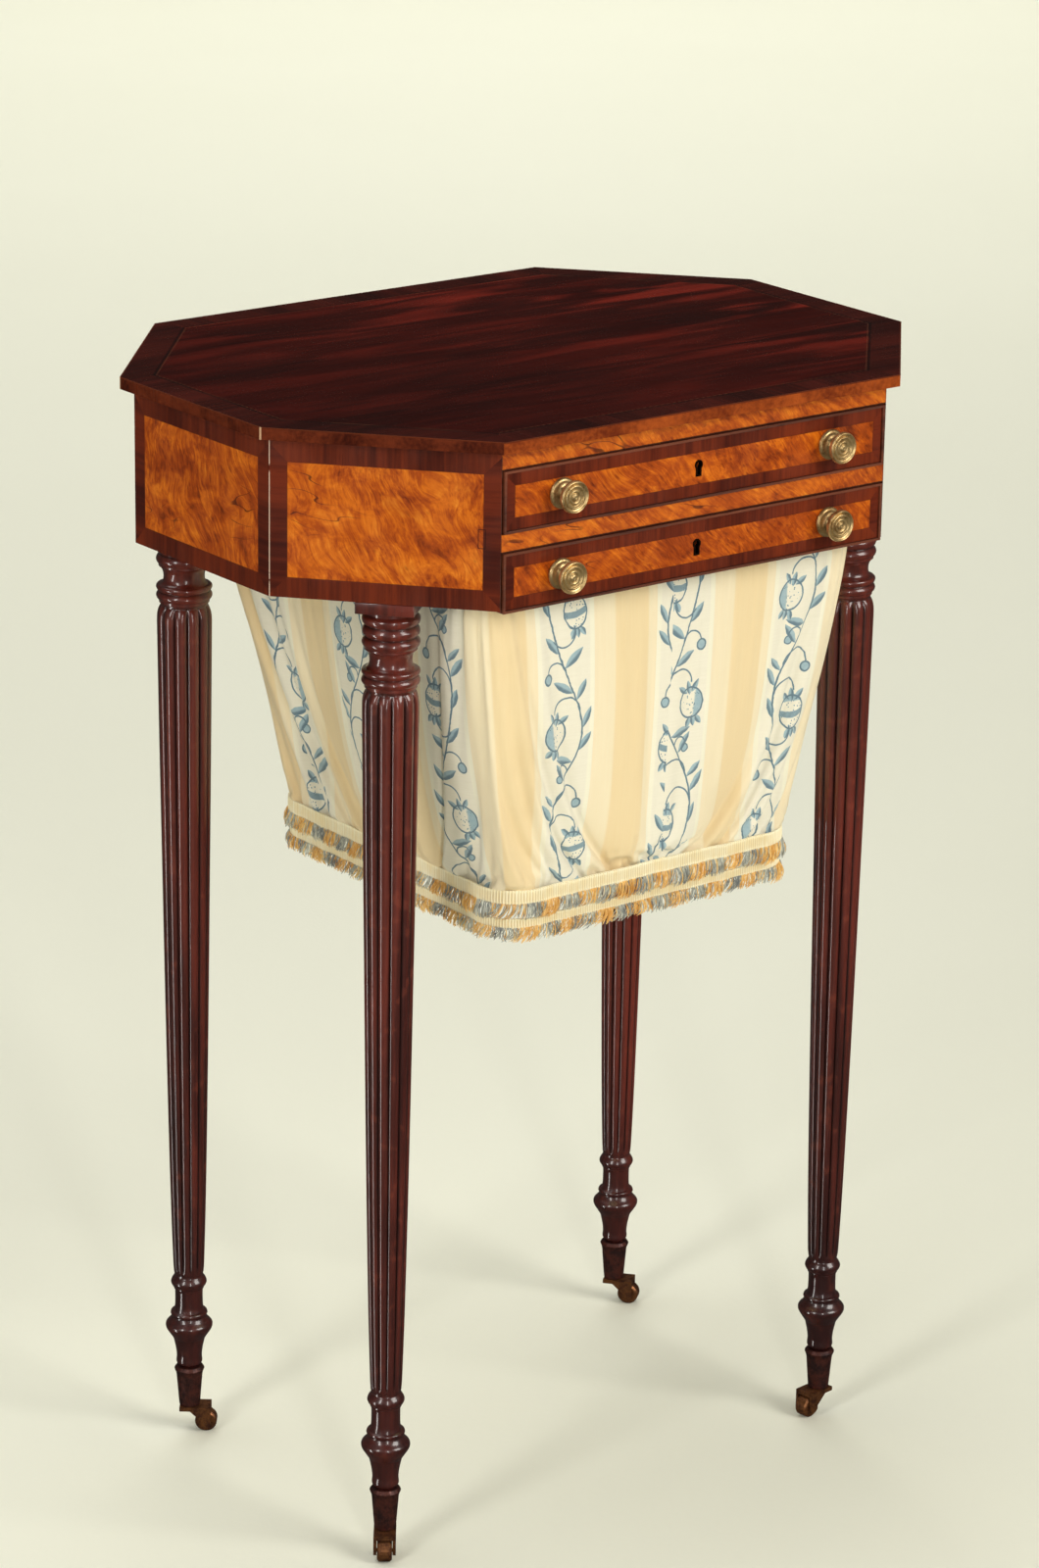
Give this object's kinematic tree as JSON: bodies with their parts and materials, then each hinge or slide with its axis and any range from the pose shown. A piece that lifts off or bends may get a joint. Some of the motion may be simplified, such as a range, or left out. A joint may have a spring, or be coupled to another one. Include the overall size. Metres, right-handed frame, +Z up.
{
  "type": "sewing table",
  "caption": "Octagonal wooden sewing table on turned, reeded legs with casters, with a drawer and a sliding frame that a fringed cloth bag hangs from.",
  "frame": {"origin": "on the floor, below the middle of the top board", "axes": "+Z up, +Y from the drawers' fronts towards the back, +X to the right of someone who faces the drawers"},
  "size_m": [0.5, 0.3769, 0.737],
  "materials": {
    "mahogany": "polished",
    "flame_birch": "polished veneer",
    "inner_wood": "planed",
    "brass": "polished",
    "old_brass": "darkened",
    "iron": "plain",
    "silk": "striped satin",
    "fringe": "tasselled",
    "card": "plain"
  },
  "bodies": {
    "table": {"top_board": "mahogany", "side_left": "flame_birch", "side_right": "flame_birch", "back_panel": "flame_birch", "corner_front_left": "flame_birch", "corner_front_right": "flame_birch", "corner_back_left": "flame_birch", "corner_back_right": "flame_birch", "rail_top": "flame_birch", "rail_middle": "flame_birch", "runner_upper_left": "inner_wood", "runner_upper_right": "inner_wood", "runner_lower_left": "inner_wood", "runner_lower_right": "inner_wood", "leg_front_left": "mahogany", "leg_front_right": "mahogany", "leg_back_left": "mahogany", "leg_back_right": "mahogany", "caster_cup_front_left": "old_brass", "caster_cup_front_right": "old_brass", "caster_cup_back_left": "old_brass", "caster_cup_back_right": "old_brass"},
    "upper_drawer": {"upper_front": "flame_birch", "upper_bead": "inner_wood", "upper_keyhole_liner": "brass", "upper_knob_left": "brass", "upper_knob_right": "brass", "upper_lock": "iron", "upper_side_left": "inner_wood", "upper_side_right": "inner_wood", "upper_back": "inner_wood", "upper_bottom": "inner_wood"},
    "upper_lock_bolt": {"upper_bolt": "iron"},
    "bag_drawer": {"lower_front": "flame_birch", "lower_bead": "inner_wood", "lower_keyhole_liner": "brass", "lower_knob_left": "brass", "lower_knob_right": "brass", "lower_lock": "iron", "bag_frame_left": "inner_wood", "bag_frame_right": "inner_wood", "bag_frame_front": "inner_wood", "bag_frame_back": "inner_wood", "bag": "silk", "bag_board": "card", "fringe_upper": "fringe", "fringe_lower": "fringe"},
    "lower_lock_bolt": {"lower_bolt": "iron"},
    "swivel_front_left": {"caster_fork_front_left": "old_brass", "caster_axle_front_left": "old_brass"},
    "swivel_front_right": {"caster_fork_front_right": "old_brass", "caster_axle_front_right": "old_brass"},
    "swivel_back_left": {"caster_fork_back_left": "old_brass", "caster_axle_back_left": "old_brass"},
    "swivel_back_right": {"caster_fork_back_right": "old_brass", "caster_axle_back_right": "old_brass"},
    "wheel_front_left": {"caster_wheel_front_left": "old_brass"},
    "wheel_front_right": {"caster_wheel_front_right": "old_brass"},
    "wheel_back_left": {"caster_wheel_back_left": "old_brass"},
    "wheel_back_right": {"caster_wheel_back_right": "old_brass"}
  },
  "joints": [
    {"name": "upper_drawer_slide", "type": "slide", "parent": "table", "child": "upper_drawer", "axis": [0, -1, 0], "range_m": [0, 0.25]},
    {"name": "bag_drawer_slide", "type": "slide", "parent": "table", "child": "bag_drawer", "axis": [0, -1, 0], "range_m": [0, 0.25]},
    {"name": "upper_bolt_slide", "type": "slide", "parent": "upper_drawer", "child": "upper_lock_bolt", "axis": [0, 0, 1], "range_m": [0, 0.005]},
    {"name": "lower_bolt_slide", "type": "slide", "parent": "bag_drawer", "child": "lower_lock_bolt", "axis": [0, 0, 1], "range_m": [0, 0.005]},
    {"name": "swivel_front_left_turn", "type": "hinge", "parent": "table", "child": "swivel_front_left", "pos_m": [-0.18022, -0.1115, 0.016], "axis": [0, 0, 1], "continuous": true},
    {"name": "swivel_front_right_turn", "type": "hinge", "parent": "table", "child": "swivel_front_right", "pos_m": [0.18022, -0.1115, 0.016], "axis": [0, 0, 1], "continuous": true},
    {"name": "swivel_back_left_turn", "type": "hinge", "parent": "table", "child": "swivel_back_left", "pos_m": [-0.18022, 0.1115, 0.016], "axis": [0, 0, 1], "continuous": true},
    {"name": "swivel_back_right_turn", "type": "hinge", "parent": "table", "child": "swivel_back_right", "pos_m": [0.18022, 0.1115, 0.016], "axis": [0, 0, 1], "continuous": true},
    {"name": "wheel_front_left_turn", "type": "hinge", "parent": "swivel_front_left", "child": "wheel_front_left", "pos_m": [-0.18684, -0.12029, 0.0073], "axis": [0.7986, -0.6018, 0], "continuous": true},
    {"name": "wheel_front_right_turn", "type": "hinge", "parent": "swivel_front_right", "child": "wheel_front_right", "pos_m": [0.16933, -0.11303, 0.0073], "axis": [0.1392, -0.9903, 0], "continuous": true},
    {"name": "wheel_back_left_turn", "type": "hinge", "parent": "swivel_back_left", "child": "wheel_back_left", "pos_m": [-0.17156, 0.10473, 0.0073], "axis": [0.6157, 0.788, 0], "continuous": true},
    {"name": "wheel_back_right_turn", "type": "hinge", "parent": "swivel_back_right", "child": "wheel_back_right", "pos_m": [0.18729, 0.10307, 0.0073], "axis": [0.766, 0.6428, 0], "continuous": true}
  ]
}
